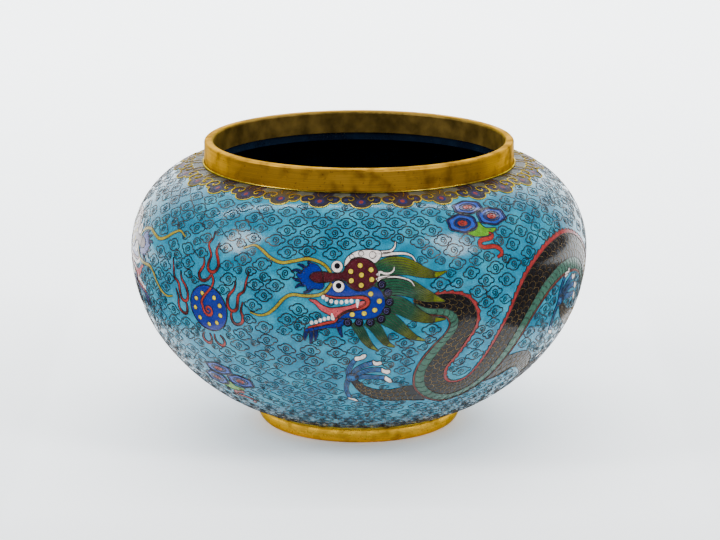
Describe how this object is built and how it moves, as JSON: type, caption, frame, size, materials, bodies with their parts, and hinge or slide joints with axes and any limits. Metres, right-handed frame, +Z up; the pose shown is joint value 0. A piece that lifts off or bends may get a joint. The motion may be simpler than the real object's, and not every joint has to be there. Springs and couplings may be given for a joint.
{
  "type": "cloisonne vase",
  "caption": "Squat round cloisonne vase: a copper body under turquoise enamel with wired dragons, clouds and a flaming pearl, a gilt collar at the mouth and a gilt foot ring.",
  "frame": {"origin": "centre of the face that the foot ring rests on", "axes": "+Z up along the vase's axis; the pearl and the right dragon's head are at the front, which looks along -Y"},
  "size_m": [0.18, 0.18, 0.1139],
  "materials": {
    "gilt_brass": "worn mercury-gilt brass, satin",
    "copper": "spun sheet copper",
    "turquoise_enamel": "opaque turquoise enamel, ground and polished",
    "navy_enamel": "dark navy counter enamel",
    "sage_enamel": "sage grey enamel",
    "dark_lappet_enamel": "dark brown and navy enamel",
    "olive_lappet_enamel": "olive brown enamel",
    "scale_enamel": "near-black brown enamel",
    "head_enamel": "maroon, blue and red enamel",
    "mane_enamel": "dark green to yellow green enamel",
    "claw_enamel": "mid blue and white enamel",
    "pearl_enamel": "blue enamel with yellow dots",
    "flame_enamel": "red to black enamel",
    "cluster_enamel": "dark blue, blue, red and green enamel",
    "cloison_wire": "bronze wire, flush with the enamel",
    "gilt_wire": "gilt wire"
  },
  "bodies": {
    "root": {"copper_body_upper": "copper", "copper_body_lower": "copper", "rim_collar": "gilt_brass", "foot_ring": "gilt_brass", "collar_wire_ring": "gilt_wire", "foot_wire_ring": "gilt_wire", "interior_enamel": "navy_enamel", "base_enamel": "navy_enamel", "ground_enamel": "turquoise_enamel", "border_ground_enamel": "sage_enamel", "ruyi_lappets_dark_enamel": "dark_lappet_enamel", "ruyi_lappets_olive_enamel": "olive_lappet_enamel", "ruyi_border_wire": "gilt_wire", "dragon_right_head_enamel": "head_enamel", "dragon_right_mane_enamel": "mane_enamel", "dragon_right_body_enamel": "scale_enamel", "dragon_right_legs_enamel": "scale_enamel", "dragon_right_paws_enamel": "claw_enamel", "dragon_right_outline_wire": "cloison_wire", "dragon_left_head_enamel": "head_enamel", "dragon_left_mane_enamel": "mane_enamel", "dragon_left_body_enamel": "scale_enamel", "dragon_left_legs_enamel": "scale_enamel", "dragon_left_paws_enamel": "claw_enamel", "dragon_left_outline_wire": "cloison_wire", "pearl_enamel": "pearl_enamel", "pearl_flames_enamel": "flame_enamel", "pearl_outline_wire": "cloison_wire", "cloud_clusters_enamel": "cluster_enamel", "cloud_clusters_wire": "cloison_wire"}
  },
  "joints": []
}
